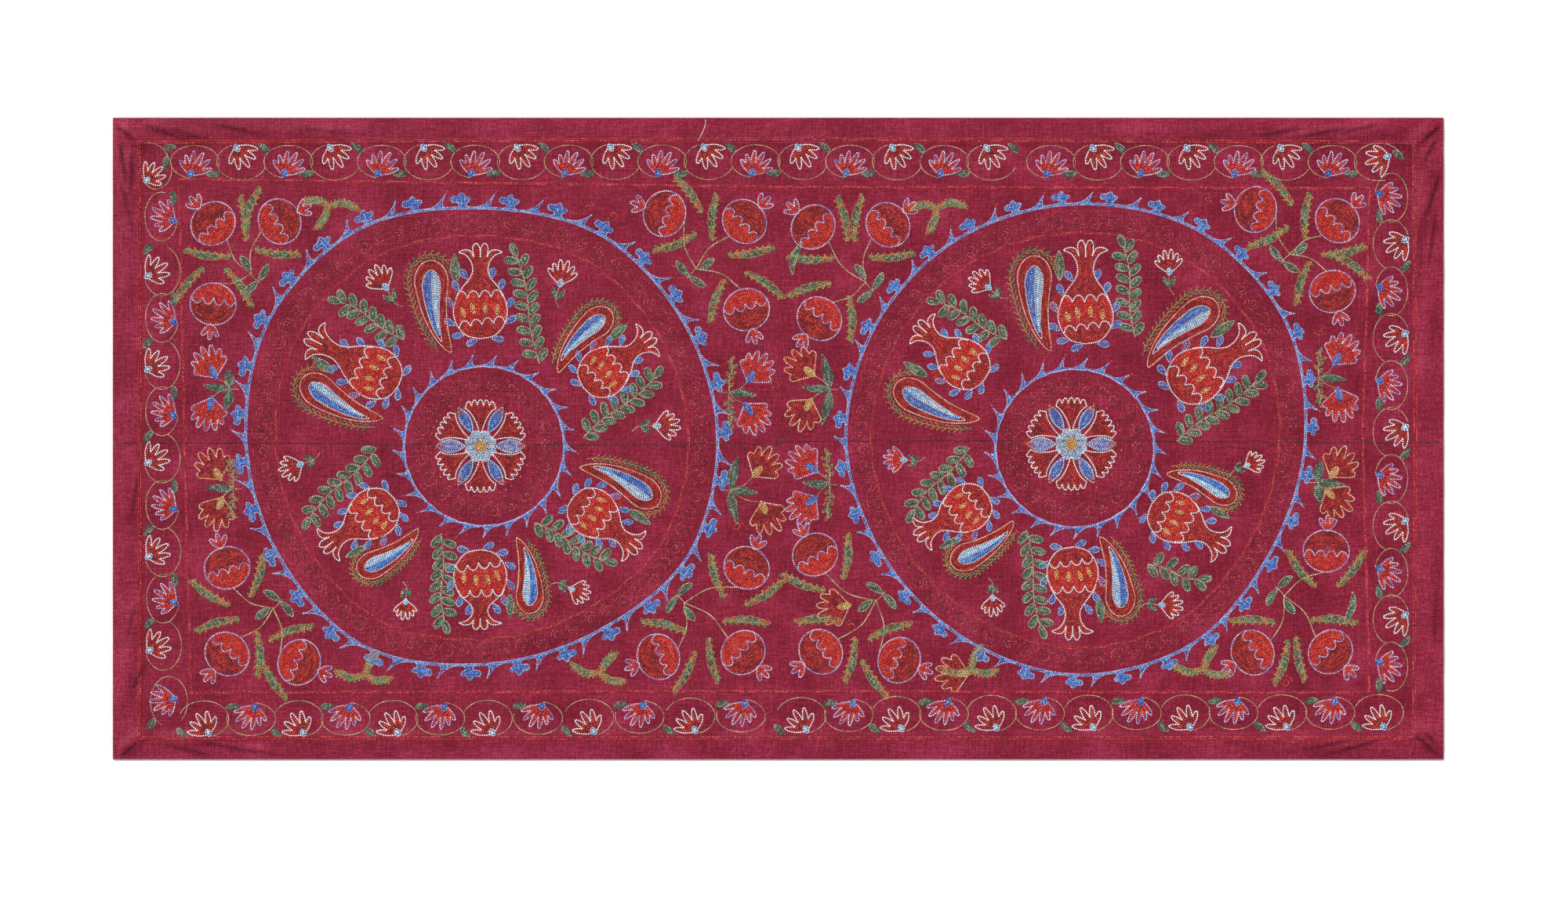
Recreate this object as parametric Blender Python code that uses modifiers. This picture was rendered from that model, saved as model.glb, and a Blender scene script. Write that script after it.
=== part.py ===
"""A suzani: a long embroidered silk cloth that lies flat, face up.

Two loom-width strips of silk run the whole length of the cloth and are sewn
together along the middle. Each strip is one thin sheet: it lies flat on the
surface and lifts off it only where the cloth carries a crease. The outer edge is
turned under as a deep hem with mitred corners, which makes the sheet thicker there.

Metres, +Z up out of the embroidered face, +X along the length, +Y towards the top edge.
The origin is the middle of the cloth, on the surface it lies on.
"""

import math
from collections import namedtuple

import bmesh
import bpy

# Driving dimensions
CLOTH_LENGTH = 1.900
CLOTH_WIDTH = 0.916
FIELD_THICKNESS = 0.0012
HEM_THICKNESS = 0.0019
HEM_WIDTH = 0.037
HEM_STEP = 0.0015
SEAM_Y = -0.006
SEAM_GAP = 0.0003

# The seam wanders a little, and steps down at the storage crease in the middle.
SEAM_WANDER = 0.0012
SEAM_WANDER_WAVES = 1.5
SEAM_STEP = 0.0030
SEAM_STEP_RUN = 0.024

# Size of the cells in the sheet
HEM_CELL = 0.0125
FIELD_CELL = 0.0165

HALF_LENGTH = CLOTH_LENGTH / 2
HALF_WIDTH = CLOTH_WIDTH / 2
MILLIMETRE = 0.001

# A crease is a soft ridge from (x0, y0) to (x1, y1) that fades out at both ends:
# its crest is `lift` high and its foot is `reach` wide on either side. Millimetres.
Crease = namedtuple("Crease", "x0 y0 x1 y1 lift reach")
CREASES = [
    # The storage fold across the middle
    Crease(0, -456, 0, 456, 1.4, 17),
    # Upper left corner: the mitre, then what fans out from it along both edges
    Crease(-945, 452, -893, 412, 4.2, 17),
    Crease(-915, 455, -800, 424, 3.4, 18),
    Crease(-850, 450, -560, 428, 2.4, 20),
    Crease(-943, 420, -905, 250, 3.6, 19),
    Crease(-935, 330, -925, 160, 2.8, 18),
    # Upper right corner
    Crease(945, 452, 893, 412, 4.0, 17),
    Crease(925, 445, 700, 430, 3.6, 19),
    Crease(760, 448, 430, 430, 2.6, 20),
    Crease(940, 425, 895, 215, 4.0, 19),
    Crease(938, 300, 920, 60, 3.0, 19),
    Crease(885, 330, 815, 95, 3.4, 18),
    # Lower left corner
    Crease(-945, -452, -895, -412, 3.8, 17),
    Crease(-930, -440, -640, -405, 3.0, 20),
    Crease(-700, -428, -180, -424, 2.6, 22),
    Crease(-938, -400, -912, -210, 3.2, 19),
    Crease(-930, -190, -935, -20, 2.2, 18),
    # Lower right corner
    Crease(947, -452, 893, -402, 4.4, 17),
    Crease(930, -446, 600, -428, 3.0, 20),
    Crease(900, -395, 868, -310, 3.2, 17),
    Crease(936, -330, 928, -110, 2.8, 19),
    # Long shallow folds in the field
    Crease(-560, -376, 300, -372, 2.8, 30),
    Crease(-470, -318, -60, -200, 2.6, 28),
    Crease(600, 45, 702, 112, 4.2, 18),
    Crease(545, 120, 575, 150, 2.6, 18),
    Crease(-700, 60, -560, 20, 1.8, 20),
]
CREASE_FADE = 0.35  # share of a crease's length over which each end fades

# Materials: colour is linear, from the silk's crimson
SILK_COLOUR = (0.27, 0.026, 0.052, 1.0)
SILK_ROUGHNESS = 0.55


def smooth_step(t):
    """0 below 0, 1 above 1, and a smooth rise between."""
    t = min(max(t, 0.0), 1.0)
    return t * t * (3.0 - 2.0 * t)


def crease_lift(crease, x, y):
    """How far one crease lifts the cloth at a point: a raised cosine across it, fading along it."""
    run_x = (crease.x1 - crease.x0) * MILLIMETRE
    run_y = (crease.y1 - crease.y0) * MILLIMETRE
    from_x = x - crease.x0 * MILLIMETRE
    from_y = y - crease.y0 * MILLIMETRE
    length = math.hypot(run_x, run_y)
    along = (from_x * run_x + from_y * run_y) / length**2
    across = abs(from_x * run_y - from_y * run_x) / length
    reach = crease.reach * MILLIMETRE
    if across >= reach or not 0.0 < along < 1.0:
        return 0.0
    fade = smooth_step(along / CREASE_FADE) * smooth_step((1.0 - along) / CREASE_FADE)
    return crease.lift * MILLIMETRE * fade * 0.5 * (1.0 + math.cos(math.pi * across / reach))


def cloth_lift(x, y):
    """Height of the cloth's underside above the surface: crossing creases take the higher one."""
    return max(crease_lift(crease, x, y) for crease in CREASES)


def seam_line(x):
    """The seam's Y at a place along the cloth."""
    wander = SEAM_WANDER * math.sin(2.0 * math.pi * SEAM_WANDER_WAVES * x / CLOTH_LENGTH)
    step = SEAM_STEP * (smooth_step(0.5 + x / SEAM_STEP_RUN) - 0.5)
    return SEAM_Y + wander + step


def even_places(start, end, cell):
    """Places from start to end, evenly spaced and about one cell apart."""
    count = max(1, round(abs(end - start) / cell))
    return [start + (end - start) * i / count for i in range(count + 1)]


def length_places():
    """Places along X: fine in the hems, a narrow step beside each, and wider in the field."""
    hem_line = HALF_LENGTH - HEM_WIDTH
    left_hem = even_places(-HALF_LENGTH, -hem_line, HEM_CELL)
    field = even_places(-hem_line + HEM_STEP, hem_line - HEM_STEP, FIELD_CELL)
    right_hem = even_places(hem_line, HALF_LENGTH, HEM_CELL)
    return left_hem + field + right_hem


def width_places():
    """Places across one strip, as distances from its outer edge to its seam, 0 to 1 in the field."""
    hem = [("hem", d) for d in even_places(0.0, HEM_WIDTH, HEM_CELL)]
    strip = HALF_WIDTH - HEM_WIDTH - HEM_STEP
    field = [("field", share) for share in even_places(0.0, 1.0, FIELD_CELL / strip)]
    return hem + field


def strip_y(place, x, side):
    """Y of a width place at x, on the upper strip (side 1) or the lower one (side -1)."""
    zone, value = place
    outer = side * HALF_WIDTH
    if zone == "hem":
        return outer - side * value
    start = outer - side * (HEM_WIDTH + HEM_STEP)
    end = seam_line(x) + side * SEAM_GAP / 2
    return start + (end - start) * value


def in_hem(x, y):
    """Whether the point lies on the turned hem."""
    hem_line_x = HALF_LENGTH - HEM_WIDTH
    hem_line_y = HALF_WIDTH - HEM_WIDTH
    tolerance = HEM_STEP / 10
    return abs(x) > hem_line_x - tolerance or abs(y) > hem_line_y - tolerance


def silk_material():
    """Crimson silk: a plain weave with a low sheen."""
    material = bpy.data.materials.new("crimson_silk")
    material.use_nodes = True
    shader = material.node_tree.nodes["Principled BSDF"]
    shader.inputs["Base Color"].default_value = SILK_COLOUR
    shader.inputs["Roughness"].default_value = SILK_ROUGHNESS
    shader.inputs["Metallic"].default_value = 0.0
    return material


def grid_index(value, count):
    """Index of a grid line from a unit grid's coordinate, -1 to 1."""
    return round((value + 1.0) / 2.0 * (count - 1))


def cloth_strip(name, side, material, collection):
    """One strip of the cloth: a grid laid over the creases, given its thickness by Solidify."""
    across_x = length_places()
    across_y = width_places()
    if side > 0:
        across_y = across_y[::-1]
    grid = bmesh.new()
    bmesh.ops.create_grid(grid, x_segments=len(across_x) - 1, y_segments=len(across_y) - 1, size=1.0)
    hem_vertices = []
    for vertex in grid.verts:
        x = across_x[grid_index(vertex.co.x, len(across_x))]
        y = strip_y(across_y[grid_index(vertex.co.y, len(across_y))], x, side)
        vertex.co = (x, y, cloth_lift(x, y))
        if in_hem(x, y):
            hem_vertices.append(vertex.index)
    mesh = bpy.data.meshes.new(name)
    grid.to_mesh(mesh)
    grid.free()
    mesh.shade_smooth()
    mesh.materials.append(material)

    strip = bpy.data.objects.new(name, mesh)
    collection.objects.link(strip)
    hem = strip.vertex_groups.new(name="hem")
    hem.add(hem_vertices, 1.0, "REPLACE")

    thickness = strip.modifiers.new("cloth_thickness", "SOLIDIFY")
    thickness.thickness = HEM_THICKNESS
    thickness.offset = 1.0
    thickness.vertex_group = hem.name
    thickness.thickness_vertex_group = FIELD_THICKNESS / HEM_THICKNESS
    return strip


def clear_scene():
    """Removes whatever the opened file holds."""
    for old in list(bpy.data.objects):
        bpy.data.objects.remove(old, do_unlink=True)


def main():
    clear_scene()
    collection = bpy.data.collections.new("suzani")
    bpy.context.scene.collection.children.link(collection)
    silk = silk_material()
    cloth_strip("upper_strip", 1, silk, collection)
    cloth_strip("lower_strip", -1, silk, collection)


main()
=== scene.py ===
"""The looks of the suzani: crimson silk in two strips, and every chain-stitched figure on it.

Each figure is drawn as rows, lines that a needle would follow, and every row is sewn
as a chain of small raised links that lie on the cloth. Figures are drawn in millimetres,
+X along the cloth and +Y towards its top edge; a figure's own +Y is the way it grows.
"""

import math
from collections import namedtuple
from functools import lru_cache

import bpy
import numpy as np
from bpy.props import FloatProperty, FloatVectorProperty, PointerProperty
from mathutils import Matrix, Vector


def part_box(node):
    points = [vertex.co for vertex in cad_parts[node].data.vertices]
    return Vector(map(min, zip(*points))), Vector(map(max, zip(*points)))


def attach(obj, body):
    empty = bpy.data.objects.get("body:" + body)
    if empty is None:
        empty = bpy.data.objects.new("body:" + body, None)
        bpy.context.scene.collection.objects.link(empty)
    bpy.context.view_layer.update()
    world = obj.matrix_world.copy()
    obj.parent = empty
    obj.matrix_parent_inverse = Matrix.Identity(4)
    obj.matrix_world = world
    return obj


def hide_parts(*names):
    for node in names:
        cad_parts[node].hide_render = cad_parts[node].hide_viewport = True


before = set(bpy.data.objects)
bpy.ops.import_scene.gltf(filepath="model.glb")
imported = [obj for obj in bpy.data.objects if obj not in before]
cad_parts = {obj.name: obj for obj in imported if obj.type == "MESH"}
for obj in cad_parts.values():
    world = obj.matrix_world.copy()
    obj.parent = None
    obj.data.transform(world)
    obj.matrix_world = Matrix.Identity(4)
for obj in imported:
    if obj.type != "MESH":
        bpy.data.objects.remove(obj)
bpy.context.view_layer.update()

bl_info = {
    "name": "Suzani cloth",
    "version": (1, 0, 0),
    "blender": (4, 5, 0),
    "location": "3D View > Sidebar > Suzani",
    "description": "Makes a chain-stitched silk suzani that lies flat",
    "category": "Object",
}

MM = 0.001

# The cloth, from the solids that it dresses, in whole millimetres
HALF_LENGTH = float(int(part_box("upper_strip")[1].x / MM))
HALF_WIDTH = float(int(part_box("upper_strip")[1].y / MM))
FIELD_THICKNESS = 1.2
HEM_THICKNESS = 1.9
HEM_WIDTH = 37.0
HEM_STEP = 1.5
SEAM_Y = -6.0
SEAM_GAP = 0.3
SEAM_WANDER = 1.2
SEAM_WANDER_WAVES = 1.5
SEAM_STEP = 3.0
SEAM_STEP_RUN = 24.0

# Cells of the cloth's grid
HEM_CELLS = 14
FIELD_CELL = 6.5
FIELD_ROWS = 64
EDGE_BULGE = 0.4
FLOOR_DROP = -0.3

# How bright the long hems are beside the short ones, from 0, the field, to 1, and how much brighter than the
# field a short hem is in red, green and blue. The doubled cloth gives part of it, and the rest is painted
# sheen, where the key light catches the short hems more.
SIDE_HEM = 0.5
HEM_TINT_AND_SHEEN = (1.12, 1.3, 1.26)

# The main creases, as soft ridges from (x0, y0) to (x1, y1), `lift` high and `reach` to either side
Crease = namedtuple("Crease", "x0 y0 x1 y1 lift reach")
CREASES = [
    # The storage fold across the middle
    Crease(0, -456, 0, 456, 1.4, 17),
    # Upper left corner
    Crease(-945, 452, -893, 412, 4.2, 17),
    Crease(-915, 455, -800, 424, 3.4, 18),
    Crease(-850, 450, -560, 428, 2.4, 20),
    Crease(-943, 420, -905, 250, 3.6, 19),
    Crease(-935, 330, -925, 160, 2.8, 18),
    # Upper right corner
    Crease(945, 452, 893, 412, 4.0, 17),
    Crease(925, 445, 700, 430, 3.6, 19),
    Crease(760, 448, 430, 430, 2.6, 20),
    Crease(940, 425, 895, 215, 4.0, 19),
    Crease(938, 300, 920, 60, 3.0, 19),
    Crease(885, 330, 815, 95, 3.4, 18),
    # Lower left corner
    Crease(-945, -452, -895, -412, 3.8, 17),
    Crease(-930, -440, -640, -405, 3.0, 20),
    Crease(-700, -428, -180, -424, 2.6, 22),
    Crease(-938, -400, -912, -210, 3.2, 19),
    Crease(-930, -190, -935, -20, 2.2, 18),
    # Lower right corner
    Crease(947, -452, 893, -402, 4.4, 17),
    Crease(930, -446, 600, -428, 3.0, 20),
    Crease(900, -395, 868, -310, 3.2, 17),
    Crease(936, -330, 928, -110, 2.8, 19),
    # Long shallow folds in the field
    Crease(-560, -376, 300, -372, 2.8, 30),
    Crease(-470, -318, -60, -200, 2.6, 28),
    Crease(600, 45, 702, 112, 4.2, 18),
    Crease(545, 120, 575, 150, 2.6, 18),
    Crease(-700, 60, -560, 20, 1.8, 20),
]
CREASE_FADE = 0.35

# Smaller wrinkles that the hem's turned corners draw in the silk
WRINKLES = [
    # Upper left
    Crease(-947, 453, -912, 424, 2.0, 7),
    Crease(-908, 452, -830, 427, 2.0, 8),
    Crease(-872, 447, -800, 426, 1.6, 7),
    Crease(-816, 455, -722, 436, 1.6, 9),
    Crease(-700, 448, -560, 436, 1.2, 9),
    Crease(-946, 430, -932, 350, 2.0, 8),
    Crease(-944, 372, -918, 270, 1.6, 8),
    Crease(-926, 420, -929, 335, 1.5, 8),
    # Upper right
    Crease(947, 453, 910, 420, 2.0, 7),
    Crease(938, 432, 914, 388, 1.6, 7),
    Crease(945, 392, 914, 296, 1.8, 8),
    Crease(936, 330, 922, 220, 1.4, 8),
    Crease(866, 454, 776, 436, 1.6, 8),
    Crease(826, 450, 704, 427, 1.8, 8),
    Crease(760, 449, 664, 432, 1.4, 8),
    # Lower left
    Crease(-944, -454, -912, -426, 2.0, 7),
    Crease(-903, -312, -936, -376, 1.6, 8),
    Crease(-920, -230, -940, -310, 1.4, 8),
    Crease(-888, -428, -790, -455, 1.6, 8),
    Crease(-840, -428, -694, -452, 1.4, 9),
    Crease(-930, -120, -912, -20, 1.2, 9),
    # Lower right
    Crease(909, -418, 947, -453, 2.0, 7),
    Crease(924, -415, 948, -442, 1.6, 6),
    Crease(866, -425, 762, -453, 1.8, 8),
    Crease(826, -425, 734, -444, 1.4, 8),
    Crease(930, -300, 938, -200, 1.2, 9),
]
# Width in millimetres of the painted shadow line beside a wrinkle's foot
FOLD_SHADOW_WIDTH = 2.6

# Rows of chain stitch: widths of a line and of a filling row, a link's length and height, and
# the distance between the points that outlines are worked out with
LINE = 2.0
FINE_LINE = 1.35
ROW = 2.1
LINK = 3.2
LINK_HEIGHT = 0.8
TONE_CHANCE = 0.16
STEP = 1.0
NOTCH_STEP = math.radians(9)

# How a filling's rows are cut: how far a row may stray from its depth, how finely the deepest place
# is looked for and how much deeper it may be than what that finds, and the least share of a row
ROW_SLACK = 0.15
DEPTH_GRID = 18
DEPTH_MISS = 1.04
LEAST_ROW = 0.35

# A link's tail, widest place, head and peak, as shares of its length from its middle
TAIL, WIDEST, HEAD, PEAK = -0.62, 0.12, 0.78, 0.06

Row = namedtuple("Row", "line thread width")


def linear(hex_colour):
    """Linear red, green and blue of an sRGB hex colour."""
    parts = np.array([int(hex_colour[i : i + 2], 16) for i in (1, 3, 5)]) / 255.0
    return tuple(np.where(parts <= 0.04045, parts / 12.92, ((parts + 0.055) / 1.055) ** 2.4))


# Threads: the shades of each from dark to light, how far it swings along them, and over how many
# millimetres
Thread = namedtuple("Thread", "shades swing drift")
THREADS = {
    "bright_red": Thread(("#AC100C", "#E02818", "#F8664A"), 0.12, 60),
    "mid_red": Thread(("#800C0C", "#BC1E18", "#E25442"), 0.14, 60),
    "dark_red": Thread(("#6E0A0E", "#B01816", "#E04632"), 0.2, 40),
    "white": Thread(("#E2C8D0", "#FAEEF2", "#FFFFFF"), 0.1, 90),
    "lavender": Thread(("#9480C4", "#D0B8E6", "#F6E2F8"), 0.16, 80),
    "blue": Thread(("#2856B0", "#4E86DA", "#90C0F4"), 0.14, 70),
    "pale_blue": Thread(("#86B4DC", "#B4DAF6", "#F0FAFF"), 0.1, 90),
    "violet": Thread(("#6A70BE", "#A2AAE2", "#D2D8F6"), 0.12, 90),
    "green": Thread(("#2C4C40", "#567C66", "#A0BCA2"), 0.2, 45),
    "khaki": Thread(("#6C785E", "#9CA684", "#CACEAC"), 0.2, 40),
    "vine": Thread(("#94804E", "#C4B07E", "#EAD8AC"), 0.2, 40),
    "gold": Thread(("#CC7C60", "#F4B290", "#FFE2CA"), 0.12, 90),
    "tan": Thread(("#BC8440", "#E6B46E", "#FADEA2"), 0.12, 60),
    "variegated": Thread(("#BC6A40", "#CC9C60", "#A8A468", "#6C8A5A"), 0.5, 30),
    "crimson": Thread(("#5A0414", "#A2162A", "#DC5C6C"), 0.16, 50),
    "feather": Thread(("#C46A3C", "#B09A58", "#84905A", "#5A7650"), 0.4, 150),
    "scarlet": Thread(("#9A1018", "#CC262C", "#F07466"), 0.18, 50),
    "frame_red": Thread(("#8A0A1A", "#C41A30", "#EA5C68"), 0.14, 50),
    "seam": Thread(("#300810", "#58121E", "#86303C"), 0.1, 90),
}


# Lines and outlines


def ccw(outline):
    """The outline turned, if need be, to run anticlockwise."""
    x, y = outline.T
    area = np.sum(x * np.roll(y, -1) - y * np.roll(x, -1))
    return outline if area > 0 else outline[::-1]


def curve(points, closed=False, per_span=8):
    """A smooth line through a few points: every span is the Catmull-Rom cubic of its four nearest."""
    p = np.asarray(points, float)
    if closed:
        p0, p1, p2, p3 = (np.roll(p, shift, 0) for shift in (1, 0, -1, -2))
    else:
        ends = np.vstack([2 * p[:1] - p[1:2], p, 2 * p[-1:] - p[-2:-1]])
        p0, p1, p2, p3 = ends[:-3], ends[1:-2], ends[2:-1], ends[3:]
    p0, p1, p2, p3 = (q[:, None, :] for q in (p0, p1, p2, p3))
    t = (np.arange(per_span) / per_span)[None, :, None]
    line = 2 * p1 + (p2 - p0) * t + (2 * p0 - 5 * p1 + 4 * p2 - p3) * t**2
    line = 0.5 * (line + (3 * p1 - p0 - 3 * p2 + p3) * t**3)
    line = line.reshape(-1, 2)
    return line if closed else np.vstack([line, p[-1:]])


def arc(width, height, start=0.0, end=360.0, middle=(0.0, 0.0)):
    """Part of an ellipse, from one angle to another, in degrees anticlockwise from +X."""
    count = max(6, int(abs(end - start) / 9))
    a = np.radians(np.linspace(start, end, count + 1))
    if abs(end - start) >= 360:
        a = a[:-1]
    return np.column_stack([middle[0] + width / 2 * np.cos(a), middle[1] + height / 2 * np.sin(a)])


def circle(reach, middle=(0.0, 0.0)):
    """A circle about a middle."""
    return arc(2 * reach, 2 * reach, middle=middle)


def blade(length, width, bend=0.0, belly=0.5, blunt=1.0):
    """A leaf or petal that grows up from the origin.

    Half its width follows sin(pi t^p)^blunt, with p set so that it is widest at `belly`;
    its middle line bends sideways with the square of t, by `bend` of its length.
    """
    t = np.linspace(0.0, 1.0, 15)
    half = width / 2 * np.sin(np.pi * t ** (math.log(0.5) / math.log(belly))).clip(0) ** blunt
    spine = np.column_stack([bend * length * t**2, length * t])
    slope = np.column_stack([2 * bend * t, np.ones_like(t)])
    across = np.column_stack([slope[:, 1], -slope[:, 0]]) / np.hypot(*slope.T)[:, None]
    right = spine + across * half[:, None]
    left = spine - across * half[:, None]
    return np.vstack([right, left[-2:0:-1]])


def drop(length, width, bend=0.0, head=0.3, taper=1.0):
    """A paisley: a round head at the origin's end, running down -Y to a point that bends to +X.

    Half its width is a circle's up to `head` of the length, then falls as a power of what is left.
    Its middle line bends with the cube of the length. The first half of the points is its right side.
    """
    t = np.linspace(0.0, 1.0, 26) ** 1.4
    round_part = np.sqrt(np.clip(1 - (1 - t / head) ** 2, 0, 1))
    tail_part = np.clip((1 - t) / (1 - head), 0, 1) ** taper
    half = width / 2 * np.where(t < head, round_part, tail_part)
    spine = np.column_stack([bend * length * t**3, -length * t])
    slope = np.gradient(spine, axis=0)
    across = np.column_stack([-slope[:, 1], slope[:, 0]]) / np.hypot(*slope.T)[:, None]
    right = spine + across * half[:, None]
    left = spine - across * half[:, None]
    return np.vstack([right, left[-2:0:-1]])


def fan(tips, reach, valley=0.45, spread=140.0, point=1.3):
    """A spread flower from its base point. In polar form about the base, with u from -1 to 1
    across each petal, the edge lies at valley + (tip - valley)(1 - |u|^point)."""
    tips = np.asarray(tips, float)
    u = np.linspace(-1, 1, 13)[:-1]
    angle = spread * ((np.arange(len(tips))[:, None] + (u + 1) / 2) / len(tips) - 0.5)
    distance = reach * (valley + (tips[:, None] - valley) * (1 - np.abs(u) ** point))
    angle = np.append(np.radians(angle).ravel(), math.radians(spread / 2))
    distance = np.append(distance.ravel(), reach * valley)
    edge = np.column_stack([distance * np.sin(angle), distance * np.cos(angle)])
    return np.vstack([[[0.0, 0.0]], edge])


def moved(line, x=0.0, y=0.0, turn=0.0, mirror=False):
    """The line mirrored in its own +Y axis if asked, turned by degrees, then moved."""
    a = math.radians(turn)
    line = np.asarray(line, float) * ((-1, 1) if mirror else (1, 1))
    turned = line @ np.array([[math.cos(a), math.sin(a)], [-math.sin(a), math.cos(a)]])
    return turned + (x, y)


def placed(rows, x=0.0, y=0.0, turn=0.0, mirror=False, size=1.0):
    """A figure's rows, sized and moved as one."""
    return [row._replace(line=moved(row.line * size, x, y, turn, mirror)) for row in rows]


def loop(line):
    """The outline with its first point again at the end."""
    return np.vstack([line, line[:1]])


def even(line, step):
    """Points along the line, evenly spaced and about one step apart."""
    lengths = np.hypot(*np.diff(line, axis=0).T)
    along = np.concatenate([[0.0], np.cumsum(lengths)])
    count = max(1, round(along[-1] / step))
    places = np.linspace(0.0, along[-1], count + 1)
    return np.column_stack([np.interp(places, along, line[:, i]) for i in (0, 1)])


def distances(points, outline):
    """How far each point lies from the outline's nearest side."""
    start = outline[None]
    side = np.roll(outline, -1, 0)[None] - start
    away = points[:, None] - start
    share = np.sum(away * side, 2) / np.maximum(np.sum(side**2, 2), 1e-9)
    gap = away - side * np.clip(share, 0, 1)[..., None]
    return np.sqrt(np.sum(gap**2, 2)).min(1)


def inside(points, outline):
    """Whether each point lies inside: a ray to +X crosses an odd number of sides."""
    x, y = points[:, None, 0], points[:, None, 1]
    x0, y0 = outline.T
    x1, y1 = np.roll(outline, -1, 0).T
    crosses = (y0 > y) != (y1 > y)
    at = x0 + (y - y0) * (x1 - x0) / np.where(y1 == y0, 1e-9, y1 - y0)
    return (np.sum(crosses & (x < at), 1) % 2) == 1


def runs(kept):
    """The start and end of each stretch of True."""
    ends = np.flatnonzero(np.diff(np.concatenate([[0], kept.astype(int), [0]])))
    return list(zip(ends[::2], ends[1::2]))


def fanned(outline):
    """An outline's points with their inward normals. A point at a notch is repeated with its
    normals fanned out, so that the lines inside go round it as an arc."""
    side = np.roll(outline, -1, 0) - outline
    after = np.arctan2(side[:, 1], side[:, 0])
    before = np.roll(after, 1)
    turn = (after - before + np.pi) % (2 * np.pi) - np.pi
    copies = 1 + (-turn / NOTCH_STEP).clip(0).astype(int)
    index = np.repeat(np.arange(len(outline)), copies)
    number = np.arange(len(index)) - np.repeat(np.cumsum(copies) - copies, copies)
    angle = before[index] + turn[index] * (number + 0.5) / copies[index]
    return outline[index], np.column_stack([-np.sin(angle), np.cos(angle)])


def inset(outline, depth, gap=0.0):
    """The lines left of an outline that is moved in by a depth, cut where they near another side.
    With a gap, it gives only the stretches that a line half a gap further in would lose."""
    points, normals = fanned(outline)
    line = points + normals * depth
    kept = distances(line, outline) > depth - ROW_SLACK
    if gap:
        deeper = depth + gap / 2
        kept &= distances(points + normals * deeper, outline) <= deeper - ROW_SLACK
    if kept.all():
        return [loop(line)]
    if not kept.any():
        return []
    first = int(np.argmin(kept))
    kept, line = np.roll(kept, -first), np.roll(line, -first, 0)
    return [line[a:b] for a, b in runs(kept) if b - a > 2]


def fill(outline, *threads, lead=0.0):
    """Rows that follow an outline from its edge to its middle.

    threads names the rows from the outside in, and the last one fills what is left. `lead`
    leaves room for a line sewn on the edge. The gap is evened so that the rows just meet, and
    where two sides' rows leave a strip between them, half a row more closes it.
    """
    outline = even(loop(ccw(np.asarray(outline, float))), STEP)[:-1]
    low, high = outline.min(0), outline.max(0)
    grid = np.stack(np.meshgrid(*np.linspace(low, high, DEPTH_GRID)[1:-1].T), -1).reshape(-1, 2)
    grid = grid[inside(grid, outline)]
    if not len(grid):
        return []
    room = distances(grid, outline).max() * DEPTH_MISS - lead
    if room < LEAST_ROW * ROW:
        return []
    count = max(1, round(room / ROW))
    gap = room / count
    rows = []
    for number in range(count):
        thread = threads[min(number, len(threads) - 1)]
        depth = lead + gap * (number + 0.5)
        for line in inset(outline, depth) + inset(outline, depth + gap / 2, gap):
            rows.append(Row(line, thread, gap))
    return rows


def patch(outline, edge, *threads):
    """A filled shape with a line of another thread sewn round its edge."""
    return [Row(loop(outline), edge, LINE)] + fill(outline, *threads, lead=LINE / 2)


def at_places(line, places):
    """Points at shares of a line's length, with the line's direction there in degrees."""
    steps = np.diff(line, axis=0)
    along = np.concatenate([[0.0], np.cumsum(np.hypot(*steps.T))])
    found = []
    for share in places:
        where = share * along[-1]
        i = min(int(np.searchsorted(along, where, "right")) - 1, len(steps) - 1)
        point = line[i] + steps[i] * (where - along[i]) / max(along[i + 1] - along[i], 1e-9)
        found.append((point[0], point[1], math.degrees(math.atan2(steps[i][1], steps[i][0]))))
    return found


def chain(points, thread, width=LINE):
    """One line of stitches through the points."""
    return [Row(np.asarray(points, float), thread, width)]


def tendril(points):
    """A thin stem or vine through the points."""
    return chain(points, "vine", FINE_LINE)


def clear_of(rows, *outlines):
    """The rows, cut where they would run under the outlines."""
    kept = []
    for row in rows:
        points = even(row.line, STEP)
        shown = ~np.any([inside(points, outline) for outline in outlines], axis=0)
        kept += [row._replace(line=points[a:b]) for a, b in runs(shown) if b - a > 2]
    return kept


def scallops(start, end, count, rise):
    """A line of arcs from start to end that swell to its left: the height follows |sin|^0.6."""
    start, end = np.array(start, float), np.array(end, float)
    t = np.linspace(0.0, 1.0, count * 8 + 1)
    along = end - start
    left = np.array([-along[1], along[0]]) / np.hypot(*along)
    swell = rise * np.abs(np.sin(np.pi * count * t)) ** 0.6
    return start + t[:, None] * along + swell[:, None] * left


def polar(angle, reach, middle=(0.0, 0.0)):
    """The point at an angle in degrees and a distance from a middle."""
    a = math.radians(angle)
    return middle[0] + reach * math.cos(a), middle[1] + reach * math.sin(a)


# Figures. Each function gives a figure's rows about its own origin.


@lru_cache
def leaf(length, width, bend=0.0, blunt=0.75):
    """A green leaf with a khaki edge."""
    return patch(blade(length, width, bend, 0.55, blunt), "khaki", "green")


@lru_cache
def side_leaf(length=20.0, width=8.5, bend=0.25):
    """A bent leaf of green thread alone."""
    return patch(blade(length, width, bend, 0.4), "green", "green")


def carnation(tips, reach, spread, edge, petals, seat, valley=0.44, point=1.4, size=(12, 8)):
    """A carnation from the side: a fan of narrow petals on an oval seat at the origin."""
    base = moved(blade(*size, 0, 0.5, 0.6), 0, -2)
    rows = patch(fan(tips, reach, valley, spread, point), edge, petals)
    return clear_of(rows, base) + patch(base, seat, seat)


@lru_cache
def outward_carnation():
    """The border's lavender flower: six petals that lean to +X, the last one along the edge."""
    tips = (0.7, 0.8, 0.94, 1.0, 0.95, 0.86)
    rows = carnation(tips, 39.5, 124, "lavender", "bright_red", "blue")
    return placed(rows, turn=-20)


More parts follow.
